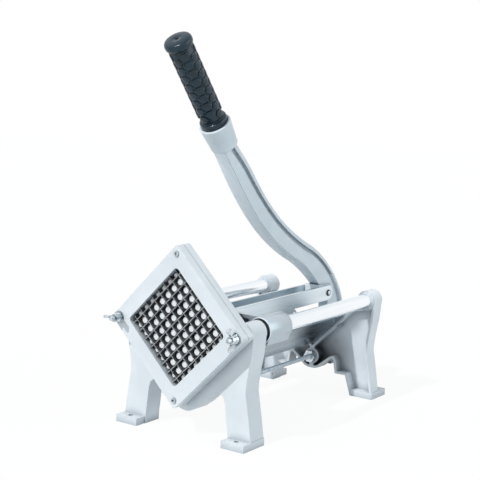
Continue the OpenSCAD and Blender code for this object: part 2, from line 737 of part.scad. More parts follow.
// Layers that round the front of the arm: share of its width, shares of the nose's depth
nose_shares = [[0.38, 0, 0.3], [0.66, 0.12, 0.5], [0.85, 0.3, 0.8], [0.96, 0.56, 0.9]];
module lever_arm() {
    hub_y = rear_pin_y - 1.19 * boss_r;
    neck_y = rear_pin_y + 0.72 * boss_r;
    neck_z = head_z - 0.69 * boss_r;
    color([0.84, 0.87, 0.89]) difference() {
        union() {
            for (step = nose_shares) sheet(0, arm_w * step[0]) polygon(concat(
                aside(front_contour, -nose_d * step[1]),
                backwards(aside(front_contour, -nose_d * step[2]))));
            sheet(0, arm_w) polygon(concat(aside(front_contour, -nose_d * 0.76),
                [[neck_y, neck_z], [pivot_y - 1.25 * boss_r, pivot_z + boss_r], [pivot_y, pivot_z]],
                backwards(rear_contour)));
            sheet(0, rib_w) polygon(concat(rear_contour, backwards(aside(rear_contour, rib_t))));
            sheet(0, hub_w) {
                polygon([[hub_y, head_z + 0.78 * boss_r], [hub_y, neck_z],
                    [rear_pin_y + 0.92 * boss_r, neck_z],
                    [rear_pin_y + 0.92 * boss_r, head_z + 0.6 * boss_r]]);
                translate([pivot_y, pivot_z]) circle(boss_r);
            }
            on_handle() translate([0, 0, -collar_len]) cylinder(h = collar_len,
                r1 = 0.78 * collar_r, r2 = collar_r);
        }
        on_handle() translate([0, 0, -socket]) cylinder(h = socket + cut, r = tube_r + fit);
        along_x(rear_pin_y, head_z, 2 * hub_w, link_pin_r + run);
        along_x(pivot_y, pivot_z, 2 * hub_w, pivot_r + run);
    }
}
module handle_tube() {
    length = socket + grip_len - grip_cap_len;
    color([0.7, 0.73, 0.76]) on_handle() translate([0, 0, face_gap - socket]) difference() {
        cylinder(h = length - 2 * face_gap, r = tube_r);
        translate([0, 0, -cut]) cylinder(h = length + 2 * cut, r = tube_r - tube_wall);
    }
}
module grip() {
    ring_len = 0.75 * grip_cap_len;
    round_r = 0.35 * grip_cap_len;
    color([0.16, 0.19, 0.22]) on_handle() translate([0, 0, face_gap]) difference() {
        union() {
            cylinder(h = ring_len, r = grip_ring_r);
            cylinder(h = grip_len - round_r, r = grip_r);
            translate([0, 0, grip_len - grip_cap_len]) cylinder(h = grip_cap_len - round_r,
                r = grip_cap_r);
            translate([0, 0, grip_len - round_r]) rotate_extrude() {
                square([grip_cap_r - round_r, round_r]);
                intersection() {
                    translate([grip_cap_r - round_r, 0]) circle(round_r);
                    translate([grip_cap_r - round_r, 0]) square(round_r);
                }
            }
        }
        translate([0, 0, -cut]) cylinder(h = grip_len - grip_cap_len + cut, r = tube_r + fit);
        cylinder(h = grip_len + cut, r = 0.1 * grip_r);
    }
}

pivot_half = hub_w / 2 + bar_gap + boss_r / 2;
module pivot_bolt() {
    color([0.72, 0.76, 0.8]) {
        translate([-pivot_half - face_gap, pivot_y, pivot_z]) rotate([0, 90, 0])
            cylinder(h = 2 * pivot_half + 1.6 * pivot_r, r = pivot_r);
        translate([-pivot_half - face_gap - 1.3 * pivot_r, pivot_y, pivot_z]) rotate([0, 90, 0])
            cylinder(h = 1.3 * pivot_r, r = 1.8 * pivot_r, $fn = 6);
    }
}
module pivot_nut() {
    color([0.75, 0.79, 0.82]) difference() {
        translate([pivot_half + face_gap, pivot_y, pivot_z]) rotate([0, 90, 0])
            cylinder(h = 1.2 * pivot_r, r = 1.8 * pivot_r, $fn = 6);
        along_x(pivot_y, pivot_z, 4 * pivot_half, pivot_r + fit);
    }
}

front_casting();
rear_casting();
blade_holder();
blades_rising();
blades_falling();
holder_screws();
wing_studs();
wing_washers();
wing_nut_left();
wing_nut_right();
guide_rod_left();
guide_rod_right();
guide_rod_bolts();
guide_rod_washers();
tie_rod();
tie_rod_nuts();
potato_trough();
trough_screws();
trough_nuts();
pusher_crosshead();
pusher_block();
pusher_pins();
block_screws();
sleeve_bush_left();
sleeve_bush_right();
link_bar_left();
link_bar_right();
link_front_pin();
link_rear_pin();
lever_arm();
handle_tube();
grip();
pivot_bolt();
pivot_nut();
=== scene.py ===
"""French fry cutter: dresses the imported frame, lights it and sets the camera."""
import math

import bmesh
import bpy
from mathutils import Matrix, Vector
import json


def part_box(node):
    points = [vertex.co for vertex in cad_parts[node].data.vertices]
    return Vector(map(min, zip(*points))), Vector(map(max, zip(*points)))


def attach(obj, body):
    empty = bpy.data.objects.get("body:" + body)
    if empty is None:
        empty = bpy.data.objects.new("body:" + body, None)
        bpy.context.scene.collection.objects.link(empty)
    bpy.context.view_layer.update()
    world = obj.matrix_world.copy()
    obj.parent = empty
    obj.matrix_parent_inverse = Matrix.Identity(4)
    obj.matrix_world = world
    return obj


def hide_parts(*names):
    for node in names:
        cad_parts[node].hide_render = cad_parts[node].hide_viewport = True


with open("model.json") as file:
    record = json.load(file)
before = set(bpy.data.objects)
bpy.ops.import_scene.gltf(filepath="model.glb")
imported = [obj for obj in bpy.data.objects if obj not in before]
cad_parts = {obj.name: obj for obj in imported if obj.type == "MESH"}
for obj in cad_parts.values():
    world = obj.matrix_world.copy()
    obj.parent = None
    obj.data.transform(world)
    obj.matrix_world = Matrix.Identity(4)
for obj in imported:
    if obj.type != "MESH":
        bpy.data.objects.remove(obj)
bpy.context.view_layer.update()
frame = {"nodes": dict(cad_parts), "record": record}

MM = 0.001

# The grip's lean towards -Y and its size
GRIP_LEAN = math.radians(37.7)
GRIP_RADIUS = 14.3 * MM
GRIP_LENGTH = 124.5 * MM
CAP_DROP = 1.4 * MM  # how far the rounded cap ends below the solid's end
PAD_HEIGHT = 1.5 * MM
PADS_ALONG = 8
PADS_ROUND = 8
PADS_FROM = 9.5 * MM  # from the grip's lower end to the first pad
PADS_SHORT = 14 * MM  # from the last pad to the grip's upper end
PAD_SPREAD = 0.57  # half width of a pad, in shares of the pitch round the grip
PAD_STRETCH = 0.43  # half height of a pad, in shares of the pitch along it
# Rings of a pad from its foot to its top: share of its outline, share of its height
PAD_RINGS = ((1.0, -0.6), (0.97, 0.45), (0.90, 0.85), (0.76, 1.0), (0.3, 1.05))

# The lever's contours: two cubic curves each, in shares of reach and rise from the link pin
LINK_PIN = (144.0, 136.0)
LEVER_REACH, LEVER_RISE = 252.5, 241.0
FRONT_CURVES = (((-0.958, 0.845), (-0.799, 0.638), (-0.634, 0.38), (-0.276, 0.213)),
                ((-0.276, 0.213), (-0.21, 0.182), (-0.128, 0.121), (-0.061, 0.06)))
REAR_CURVES = (((-0.867, 0.917), (-0.618, 0.567), (-0.471, 0.437), (-0.172, 0.294)),
               ((-0.172, 0.294), (-0.03, 0.227), (0.184, 0.037), (0.193, -0.151)))
# Half section of the arm, in mm: half width, contour it is measured from, depth inside it
ARM_SECTION = ((0, "front", 0), (8.6, "front", 0), (9.4, "front", 0.4), (9.6, "front", 1.1),
               (9.0, "front", 1.6), (9.6, "front", 2.1), (9.6, "rear", 12.8), (9.9, "rear", 12.4),
               (9.8, "rear", 11.6), (8.0, "rear", 11.3), (8.0, "rear", 6.5), (11.7, "rear", 6.1),
               (12.0, "rear", 5.8), (12.0, "rear", 0.4), (11.6, "rear", 0), (0, "rear", 0))
FRONT_FACES = (0, 1, 2)  # strips of that section on the flat front
GROOVES = (3, 4, 9, 10)  # strips in the parting line and the side recess
FLANGE_FROM = 11.0  # half width beyond which a point belongs to the flange
TOP_TAPER, TOP_TAPER_END = 0.13, 0.12  # narrowing under the collar, and where it ends
LOW_TAPER, LOW_TAPER_START = 0.2, 0.62  # narrowing towards the hub, and where it starts
FLANGE_START = 0.07  # share of the arm over which the flange comes up to its width
FLANGE_DROP, FLANGE_NARROW = 5.0, 0.15  # how far it starts inside, in mm, and how much narrower
HUB_TOP = 160.0  # height at which the hub's solid is cut, in mm

SLEEVE_FRONT = -120.0  # Y of the sleeves' front ends, in mm
PLATE_INNER, PLATE_UNDER = 66.0, 119.4  # inner X and top Z of the crosshead's cutaways, in mm
EAR_FRONT = 130.5  # Y of the rear ears' front faces, in mm
REAR_WEB = 143.5  # Y of the rear casting's web, in mm
EJECTOR_MARKS = ((26, 59, 3.2), (32, 69.5, 2.6))  # X, Z and radius, in mm

# Width of the rounded edges in mm, and the nodes that have them
ROUNDED = ((0.9, ("front_casting", "rear_casting")),
           (0.7, ("blade_holder",)),
           (0.45, ("pusher_pins",)),
           (0.5, ("tie_rod_nuts", "trough_nuts", "guide_rod_bolts", "pivot_bolt", "pivot_nut",
                  "wing_nut_left", "wing_nut_right")),
           (0.35, ("link_bar_left", "link_bar_right", "potato_trough", "wing_washers",
                   "guide_rod_washers", "pusher_block")))
BLADES = ("blades_rising", "blades_falling")
BLADE_GRIND = 0.24 * MM  # what grinding takes off each face of a blade
SHADOW_POOL_RIM = 10 * MM  # distance in front of the web at which the painted shadow ends


# Materials

def new_material(name):
    """A material, its node tree and its Principled shader."""
    material = bpy.data.materials.new(name)
    material.use_nodes = True
    tree = material.node_tree
    return material, tree, tree.nodes["Principled BSDF"]


def noise(tree, scale, detail, stretch=None):
    """Noise over object coordinates, stretched along an axis if asked."""
    coords = tree.nodes.new("ShaderNodeTexCoord")
    mapping = tree.nodes.new("ShaderNodeMapping")
    mapping.inputs["Scale"].default_value = stretch or (1, 1, 1)
    texture = tree.nodes.new("ShaderNodeTexNoise")
    texture.inputs["Scale"].default_value = scale
    texture.inputs["Detail"].default_value = detail
    tree.links.new(coords.outputs["Object"], mapping.inputs["Vector"])
    tree.links.new(mapping.outputs["Vector"], texture.inputs["Vector"])
    return texture.outputs["Fac"]


def ramp(tree, value, low, high, dark, light):
    """Colour ramp from dark to light between two values."""
    node = tree.nodes.new("ShaderNodeValToRGB")
    node.color_ramp.elements[0].position = low
    node.color_ramp.elements[0].color = (*dark, 1)
    node.color_ramp.elements[1].position = high
    node.color_ramp.elements[1].color = (*light, 1)
    tree.links.new(value, node.inputs["Fac"])
    return node.outputs["Color"]


def bump(tree, shader, height, strength, distance):
    """Gives a shader a bumpy skin."""
    node = tree.nodes.new("ShaderNodeBump")
    node.inputs["Strength"].default_value = strength
    node.inputs["Distance"].default_value = distance
    tree.links.new(height, node.inputs["Height"])
    tree.links.new(node.outputs["Normal"], shader.inputs["Normal"])


def edge_mask(tree, radius):
    """0 on flat faces, rising to 1 along sharp edges."""
    rounded = tree.nodes.new("ShaderNodeBevel")
    rounded.samples = 4
    rounded.inputs["Radius"].default_value = radius
    geometry = tree.nodes.new("ShaderNodeNewGeometry")
    match = tree.nodes.new("ShaderNodeVectorMath")
    match.operation = "DOT_PRODUCT"
    tree.links.new(rounded.outputs["Normal"], match.inputs[0])
    tree.links.new(geometry.outputs["Normal"], match.inputs[1])
    return ramp(tree, match.outputs["Value"], 0.90, 0.99, (1, 1, 1), (0, 0, 0))


def blended(tree, amount, first, second):
    """Mix of two colour sockets by a third."""
    mix = tree.nodes.new("ShaderNodeMixRGB")
    tree.links.new(amount, mix.inputs["Fac"])
    tree.links.new(first, mix.inputs["Color1"])
    tree.links.new(second, mix.inputs["Color2"])
    return mix.outputs["Color"]


def painted_crevice_shade(tree, reach, darkest):
    """Painted shade: a tint that darkens where surfaces close in on each other."""
    occlusion = tree.nodes.new("ShaderNodeAmbientOcclusion")
    occlusion.samples = 8
    occlusion.inputs["Distance"].default_value = reach
    return ramp(tree, occlusion.outputs["AO"], 0.25, 0.85, darkest, (1, 1, 1))


def facing_front(tree):
    """1 where a surface faces the blade side, and 0 elsewhere."""
    geometry = tree.nodes.new("ShaderNodeNewGeometry")
    facing = tree.nodes.new("ShaderNodeVectorMath")
    facing.operation = "DOT_PRODUCT"
    facing.inputs[1].default_value = (0, -1, 0)
    tree.links.new(geometry.outputs["True Normal"], facing.inputs[0])
    return ramp(tree, facing.outputs["Value"], 0.90, 0.97, (0, 0, 0), (1, 1, 1))


def painted_shadow_pool(tree, middle, inner, outer, darkest):
    """Painted shadow: a tint that is dark round a point, and clears away from it and in front of
    it.
    """
    coords = tree.nodes.new("ShaderNodeTexCoord")
    away = tree.nodes.new("ShaderNodeVectorMath")
    away.operation = "DISTANCE"
    away.inputs[1].default_value = middle
    tree.links.new(coords.outputs["Object"], away.inputs[0])
    share = tree.nodes.new("ShaderNodeMapRange")
    share.inputs["From Min"].default_value = inner
    share.inputs["From Max"].default_value = outer
    tree.links.new(away.outputs["Value"], share.inputs["Value"])
    axes = tree.nodes.new("ShaderNodeSeparateXYZ")
    tree.links.new(coords.outputs["Object"], axes.inputs["Vector"])
    sunk = tree.nodes.new("ShaderNodeMapRange")
    sunk.inputs["From Min"].default_value = middle[1] - SHADOW_POOL_RIM
    sunk.inputs["From Max"].default_value = middle[1] - SHADOW_POOL_RIM - 2 * MM
    tree.links.new(axes.outputs["Y"], sunk.inputs["Value"])
    clear = tree.nodes.new("ShaderNodeMath")
    clear.operation = "MAXIMUM"
    tree.links.new(share.outputs["Result"], clear.inputs[0])
    tree.links.new(sunk.outputs["Result"], clear.inputs[1])
    return ramp(tree, clear.outputs[0], 0.0, 1.0, darkest, (1, 1, 1))


def multiplied(tree, colour, tint):
    """Product of two colour sockets."""
    mix = tree.nodes.new("ShaderNodeMixRGB")
    mix.blend_type = "MULTIPLY"
    mix.inputs["Fac"].default_value = 1.0
    tree.links.new(colour, mix.inputs["Color1"])
    tree.links.new(tint, mix.inputs["Color2"])
    return mix.outputs["Color"]


def surface(name, dark, light, roughness, *, scale, grain, relief, metallic=0.0,
            specular=0.5, stretch=None, edge_wear_and_highlight=None, front=None, shade=None, shadow_pool_at=None):
    """Colour that drifts between two tones over a fine grain.

    It can be lighter at its edges from wear and a painted highlight, painted bright on faces
    towards the front, darkened by painted shade in its crevices, and darkened by a painted shadow
    round a point.
    """
    material, tree, shader = new_material(name)
    drift = noise(tree, scale, 4.0, stretch)
    colour = ramp(tree, drift, 0.35, 0.65, dark, light)
    # Lighter along sharp edges: partly edge wear, partly a painted highlight where edges catch the
    # light.
    if edge_wear_and_highlight:
        speckle = ramp(tree, noise(tree, scale * 8, 3.0), 0.45, 0.62, dark, edge_wear_and_highlight)
        colour = blended(tree, edge_mask(tree, 0.5 * MM), colour, speckle)
    # Painted highlight on faces towards the blade side.
    if front:
        bright = ramp(tree, noise(tree, scale * 4, 3.0), 0.3, 0.7, front, (0.95, 0.96, 0.97))
        colour = blended(tree, facing_front(tree), colour, bright)
    # Painted shade in the crevices and between parts.
    if shade:
        colour = multiplied(tree, colour, painted_crevice_shade(tree, 14 * MM, shade))
    # Painted shadow round a point.
    if shadow_pool_at:
        colour = multiplied(tree, colour, painted_shadow_pool(tree, *shadow_pool_at))
    tree.links.new(colour, shader.inputs["Base Color"])
    rough = ramp(tree, noise(tree, scale * 3, 3.0, stretch), 0.3, 0.7,
                 (roughness * 0.85,) * 3, (min(roughness * 1.2, 1),) * 3)
    tree.links.new(rough, shader.inputs["Roughness"])
    shader.inputs["Metallic"].default_value = metallic
    shader.inputs["Specular IOR Level"].default_value = specular
    bump(tree, shader, noise(tree, grain, 2.0, stretch), relief, 0.2 * MM)
    return material


ALONG = (1, 0.05, 1)  # stretches a texture along the rods
# Tint of the painted shade in crevices and between parts.
PAINTED_SHADE_TINT = (0.46, 0.49, 0.52)
# In each finish, the shade= tint is painted shade in its crevices and between parts.
MATERIALS = {
    "cast_body": surface("silver_cast_paint", (0.70, 0.745, 0.775), (0.77, 0.815, 0.845), 0.38,
                         scale=22, grain=900, relief=0.6, edge_wear_and_highlight=(0.90, 0.93, 0.95),
                         shade=PAINTED_SHADE_TINT),
    # Blades and pusher pins: the near-black tones are painted shade of the deep cells, and front=
    # is a painted highlight on their front faces.
    "blade_steel": surface("blade_steel_painted_light_and_shade", (0.05, 0.055, 0.06), (0.14, 0.15, 0.16), 0.4,
                           scale=200, grain=1500, stretch=(1, 0.1, 1), relief=0.1,
                           front=(0.90, 0.93, 0.95)),
    "hardware": surface("plated_fasteners", (0.38, 0.44, 0.48), (0.74, 0.80, 0.84), 0.18,
                        metallic=1.0, scale=220, grain=900, relief=0.1, shade=(0.14, 0.18, 0.20)),
    # Guide rods: the light and dark streaks round each rod are painted reflections.
    "rod_chrome": surface("polished_rod_painted_streaks", (0.78, 0.85, 0.90), (0.96, 0.98, 1.0), 0.14,
                          metallic=1.0, scale=110, grain=600, stretch=(1, 0.02, 1), relief=0.04,
                          shade=PAINTED_SHADE_TINT),
    "trough_sheet": surface("bright_trough_sheet", (0.155, 0.21, 0.26), (0.27, 0.34, 0.39), 0.24,
                            metallic=1.0, scale=34, grain=900, stretch=ALONG, relief=0.08,
                            shade=PAINTED_SHADE_TINT),
    "pusher_metal": surface("pusher_painted_light_and_shade", (0.05, 0.055, 0.06), (0.13, 0.14, 0.15), 0.5,
                            scale=90, grain=1200, relief=0.15, front=(0.84, 0.87, 0.89)),
    "bush_bronze": surface("sintered_bush", (0.30, 0.22, 0.13), (0.42, 0.31, 0.18), 0.45,
                           metallic=1.0, scale=200, grain=1500, relief=0.1, shade=PAINTED_SHADE_TINT),
    "link_steel": surface("plated_link_bar", (0.59, 0.67, 0.72), (0.77, 0.85, 0.90), 0.30,
                          metallic=1.0, scale=60, grain=1000, stretch=ALONG, relief=0.1,
                          edge_wear_and_highlight=(0.72, 0.76, 0.79), shade=(0.6, 0.63, 0.66)),
    "grip_rubber": surface("moulded_grip_rubber", (0.001, 0.017, 0.031), (0.004, 0.030, 0.050),
                           0.20, scale=120, grain=900, relief=0.6, specular=0.4,
                           shade=(0.25, 0.25, 0.25)),
}
# Painted shade: darker copy of the lever paint for its parting line and side recess.
LEVER_RECESS_SHADE = surface("painted_shade_recess", (0.36, 0.41, 0.45), (0.46, 0.51, 0.55), 0.5,
                       scale=120, grain=1100, relief=0.3)
# Painted light: lighter copy of the lever paint for faces towards the front and for the sleeve
# lips.
LEVER_PAINTED_LIGHT = surface("lever_paint_painted_light", (0.80, 0.88, 0.93), (0.88, 0.95, 0.99), 0.34,
                      scale=60, stretch=(1, 0.3, 0.3), grain=1100, relief=0.3)
LEVER_PAINT = surface("silver_lever_paint", (0.68, 0.75, 0.795), (0.75, 0.82, 0.865), 0.36,
                      scale=30, grain=900, relief=0.6, shade=PAINTED_SHADE_TINT)
# Painted shade: the crosshead's silver paint is darker than the castings' to stand in for its
# shade.
SLEEVE_PAINT = surface("silver_crosshead_paint", (0.50, 0.565, 0.61), (0.55, 0.615, 0.66), 0.32,
                       metallic=0.4, scale=14, grain=1100, relief=0.15, shade=PAINTED_SHADE_TINT)
# Painted shadow round the tie rod's boss: middle, inner and outer reach, darkest tint.
SHADOW_POOL = ((4 * MM, REAR_WEB * MM, 43 * MM), 13 * MM, 58 * MM, (0.10, 0.11, 0.12))
# Painted light: lighter copy of the silver cast paint for the rear casting, with the painted
# shadow round the tie rod's boss.
REAR_PAINT = surface("rear_casting_painted_light_and_shadow", (0.73, 0.775, 0.81), (0.81, 0.855, 0.89), 0.40,
                     scale=22, grain=1100, relief=0.3, edge_wear_and_highlight=(0.93, 0.95, 0.97), shade=PAINTED_SHADE_TINT,
                     shadow_pool_at=SHADOW_POOL)
# Painted shade: near-black for the pusher plate deep behind the blades and for the sleeve mouths.
PAINTED_DEEP_SHADE = surface("unlit_pusher_plate", (0.012, 0.014, 0.016), (0.03, 0.033, 0.036), 0.6,
                    scale=90, grain=1200, relief=0.2)
ROLLED_ZINC = surface("rolled_zinc_rod", (0.44, 0.51, 0.56), (0.60, 0.67, 0.72), 0.35,
                      metallic=0.4, scale=200, grain=900, relief=0.1)
DARK_STEEL = surface("blackened_steel", (0.03, 0.035, 0.04), (0.07, 0.08, 0.09), 0.4,
                     metallic=0.6, scale=300, grain=1500, relief=0.1)


def dress_nodes():
    """Gives each CAD node the material of its slot."""
    for part in frame["record"]["subparts"]:
        node = frame["nodes"][part["node"]]
        material = MATERIALS[part["material_slot"]]
        node.data.materials.clear()
        node.data.materials.append(material)
    # The pusher plate takes the painted shade, and the rear casting takes the lighter paint with
    # the painted shadow.
    frame["nodes"]["pusher_block"].data.materials[0] = PAINTED_DEEP_SHADE
    frame["nodes"]["rear_casting"].data.materials[0] = REAR_PAINT


def round_edges(node, width):
    """Rounds the edges of a piece that are sharper than 35 degrees."""
    bevel = node.modifiers.new("edges", "BEVEL")
    bevel.width = width
    bevel.segments = 2
    bevel.limit_method = "ANGLE"
    bevel.angle_limit = math.radians(35)
    bevel.use_clamp_overlap = True
    bevel.harden_normals = True


def ground_thin(node, depth):
    """Draws the faces of the blades in, as they are ground thinner than their blanks."""
    ground = node.modifiers.new("ground", "DISPLACE")
    ground.mid_level = 0
    ground.strength = -depth


# Pieces in general

def corners_of(node):
    """Lowest and highest corner of a CAD node's box."""
    return (Vector(corner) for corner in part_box(node))


def mesh_object(name, bm, material, body):
    """Piece made of a finished bmesh and the body that it rides on."""
    mesh = bpy.data.meshes.new(name)
    bm.to_mesh(mesh)
    bm.free()
    mesh.materials.append(material)
    piece = bpy.data.objects.new(name, mesh)
    bpy.context.scene.collection.objects.link(piece)
    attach(piece, body)
    return piece


def smooth(piece, corner=None):
    """Shades a piece smooth, apart from edges sharper than the corner angle in degrees."""
    for face in piece.data.polygons:
        face.use_smooth = True
    if corner:
        split = piece.modifiers.new("corners", "EDGE_SPLIT")
        split.split_angle = math.radians(corner)


def along(point, axis):
    """Matrix that puts local +Z along an axis, with its origin at a point."""
    return Matrix.Translation(point) @ Vector(axis).to_track_quat("Z", "Y").to_matrix().to_4x4()


def skin(bm, rings):
    """Faces between one ring of points and the next; a ring may be a single point."""
    for lower, upper in zip(rings, rings[1:]):
        sides = max(len(lower), len(upper))
        for i in range(sides):
            j = (i + 1) % sides
            points = [lower[i % len(lower)], lower[j % len(lower)],
                      upper[j % len(upper)], upper[i % len(upper)]]
            bm.faces.new(list(dict.fromkeys(points)))


def closed_skin(bm, rings):
    """Skin over rings with a flat face at each end."""
    skin(bm, rings)
    bm.faces.new(rings[0][::-1])
    bm.faces.new(rings[-1])


def lathe(bm, place, profile, sides=32):
    """Turns (radius, height) pairs round local +Z; a radius of 0 closes an end."""
    rings = []
    for radius, height in profile:
        turns = [i * math.tau / sides for i in range(sides)] if radius else [0.0]
        rings.append([bm.verts.new(place @ Vector((
            radius * math.cos(turn), radius * math.sin(turn), height))) for turn in turns])
    skin(bm, rings)


# Grip

def handle_matrix():
    """Local +Z runs up the grip from the middle of its lower end."""
    low, high = corners_of("grip")
    axis = Vector((0, -math.sin(GRIP_LEAN), math.cos(GRIP_LEAN)))
    centre = (low + high) / 2
    return Matrix.Translation(centre - axis * GRIP_LENGTH / 2) @ Matrix.Rotation(GRIP_LEAN, 4, "X")


def pad_outline(half_wide, half_high):
    """Hexagon with its points to the sides, around its middle."""
    turns = [math.radians(angle) for angle in range(30, 390, 60)]
    return [(half_wide * math.sin(turn), half_high * math.cos(turn) / 0.866) for turn in turns]


def grip_pads():
    """Raised six-sided pads in staggered columns, wrapped round the grip."""
    bm = bmesh.new()
    place = handle_matrix()
    pitch = (GRIP_LENGTH - PADS_SHORT - PADS_FROM) / (PADS_ALONG + 0.5)
    half_wide = PAD_SPREAD * math.tau / PADS_ROUND
    half_high = PAD_STRETCH * pitch
    for column in range(PADS_ROUND):
        for row in range(PADS_ALONG):
            turn = column * math.tau / PADS_ROUND
            middle = PADS_FROM + (row + 0.5 + column % 2 / 2) * pitch
            rings = []
            for share, lift in PAD_RINGS:
                ring = []
                for angle, rise in pad_outline(half_wide * share, half_high * share):
                    radius = GRIP_RADIUS + lift * PAD_HEIGHT
                    ring.append(bm.verts.new(place @ Vector((
                        radius * math.cos(turn + angle), radius * math.sin(turn + angle),
                        middle + rise))))
                rings.append(ring)
            closed_skin(bm, rings)
    bmesh.ops.recalc_face_normals(bm, faces=bm.faces)
    mesh_object("grip_pads", bm, MATERIALS["grip_rubber"], "lever")


def grip_body():
    """Turned core of the grip: lower ring, groove, sleeve, and rounded cap with its vent."""
    top = (GRIP_LENGTH - CAP_DROP) / MM
    profile = [(11.2, 0.3), (16.4, 0.3), (17.0, 0.9), (17.0, 6.3), (16.6, 6.9), (15.4, 7.2),
               (14.3, 7.6), (13.9, 8.4), (14.3, 9.2), (14.3, top - 12.2), (13.7, top - 11.4),
               (14.6, top - 10.2), (16.3, top - 9.6), (17.0, top - 8.6), (17.3, top - 6.8),
               (17.2, top - 4.4), (16.6, top - 2.5), (15.5, top - 1.2), (13.8, top - 0.5),
               (8.0, top), (2.4, top), (1.9, top - 0.5), (1.7, top - 6.0), (0, top - 6.0)]
    bm = bmesh.new()
    lathe(bm, handle_matrix(), [(r * MM, h * MM) for r, h in profile], sides=64)
    body = mesh_object("grip_body", bm, MATERIALS["grip_rubber"], "lever")
    smooth(body, corner=55)
    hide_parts("grip")


# Fasteners

def threaded(bm, place, radius, depth, pitch, length, sides=18):
    """Rod with a V thread cut along its whole length."""
    steps = max(2, round(3 * length / pitch))
    rings = []
    for k in range(steps + 1):
        height = length * k / steps
        ring = []
        for i in range(sides):
            phase = (height / pitch - i / sides) % 1
            cut = depth * abs(2 * phase - 1) if 0 < k < steps else depth
            angle = i * math.tau / sides
            ring.append(bm.verts.new(place @ Vector(((radius - cut) * math.cos(angle),
                                                     (radius - cut) * math.sin(angle), height))))
        rings.append(ring)
    closed_skin(bm, rings)


def tie_rod_thread():
    """The tie rod, threaded along its whole length."""
    low, high = corners_of("tie_rod")
    middle = (low + high) / 2
    bm = bmesh.new()
    threaded(bm, along((middle.x, low.y, middle.z), (0, 1, 0)), (high.z - low.z) / 2, 0.55 * MM,
             1.5 * MM, high.y - low.y)
    rod = mesh_object("tie_rod_thread", bm, ROLLED_ZINC, "frame")
    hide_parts("tie_rod")


def stud_threads():
    """The two studs that the wing nuts turn on, threaded."""
    low, high = corners_of("wing_studs")
    radius = (high.z - low.z) / 2
    bm = bmesh.new()
    for x in (low.x + radius, high.x - radius):
        threaded(bm, along((x, low.y, (low.z + high.z) / 2), (0, 1, 0)), radius, 0.45 * MM,
                 1.25 * MM, high.y - low.y)
    studs = mesh_object("stud_threads", bm, MATERIALS["hardware"], "frame")
    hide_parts("wing_studs")


def pin_heads(node, body):
    """Bright riveted head in a dark ring at both ends of a link pin."""
    low, high = corners_of(node)
    middle = (low + high) / 2
    heads, rings = bmesh.new(), bmesh.new()
    for side, end in ((-1, low.x), (1, high.x)):
        place = along((end - side * 1.2 * MM, middle.y, middle.z), (side, 0, 0))
        lathe(rings, place, [(4.6 * MM, 0), (4.5 * MM, 0.9 * MM), (4.1 * MM, 1.3 * MM),
                             (2.0 * MM, 1.3 * MM)])
        lathe(heads, place, [(2.9 * MM, 1.0 * MM), (2.9 * MM, 1.6 * MM), (2.4 * MM, 2.0 * MM),
                             (1.3 * MM, 2.3 * MM), (0, 2.4 * MM)])
    smooth(mesh_object(node + "_heads", heads, MATERIALS["hardware"], body))
    mesh_object(node + "_rings", rings, DARK_STEEL, body)


def cut_copy(node, name, material, body, boxes):
    """Copy of a CAD node with boxes (middle, size) cut out of it, which replaces the node."""
    cutter = bmesh.new()
    for middle, size in boxes:
        at = Matrix.Translation(middle) @ Matrix.Diagonal((*size, 1))
        bmesh.ops.create_cube(cutter, size=1, matrix=at)
    blank = bmesh.new()
    blank.from_mesh(frame["nodes"][node].data)
    bmesh.ops.remove_doubles(blank, verts=blank.verts, dist=0.001 * MM)
    piece = mesh_object(name, blank, material, body)
    cutting = bpy.data.meshes.new("cutter")
    cutter.to_mesh(cutting)
    cutter.free()
    tool = bpy.data.objects.new("cutter", cutting)
    bpy.context.scene.collection.objects.link(tool)
    cut = piece.modifiers.new("cut", "BOOLEAN")
    cut.operation = "DIFFERENCE"
    cut.solver = "EXACT"
    cut.use_self = True
    cut.object = tool
    view_layer = bpy.context.view_layer
    view_layer.update()
    done = bpy.data.meshes.new_from_object(piece.evaluated_get(view_layer.depsgraph))
    piece.modifiers.clear()
    piece.data = done
    bpy.data.objects.remove(tool)
    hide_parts(node)
    return piece


def cross_screws():
    """Pan-head screws of the blade holder, each with a cross recess cut in its head."""
    low, high = corners_of("holder_screws")
    wide = high.x - low.x
    boxes = []
    for z in (low.z + wide / 2, high.z - wide / 2):
        for across, tall in ((0.6 * wide, 1.1 * MM), (1.1 * MM, 0.6 * wide)):
            boxes.append(((0, low.y, z), (across, 2.4 * MM, tall)))
    cut_copy("holder_screws", "cross_screws", MATERIALS["hardware"], "frame", boxes)


def open_crosshead():
    """The crosshead with its plate cut away below the sleeves."""
    low, high = corners_of("pusher_crosshead")
    inner, under = PLATE_INNER * MM, PLATE_UNDER * MM
    size = (high.x - inner + 2 * MM, high.y - low.y + 4 * MM, under - low.z + 2 * MM)
    boxes = [((side * (inner + size[0] / 2), (low.y + high.y) / 2, under - size[2] / 2), size)
             for side in (-1, 1)]
    piece = cut_copy("pusher_crosshead", "open_crosshead", SLEEVE_PAINT, "pusher",
                     boxes)
    round_edges(piece, 0.9 * MM)


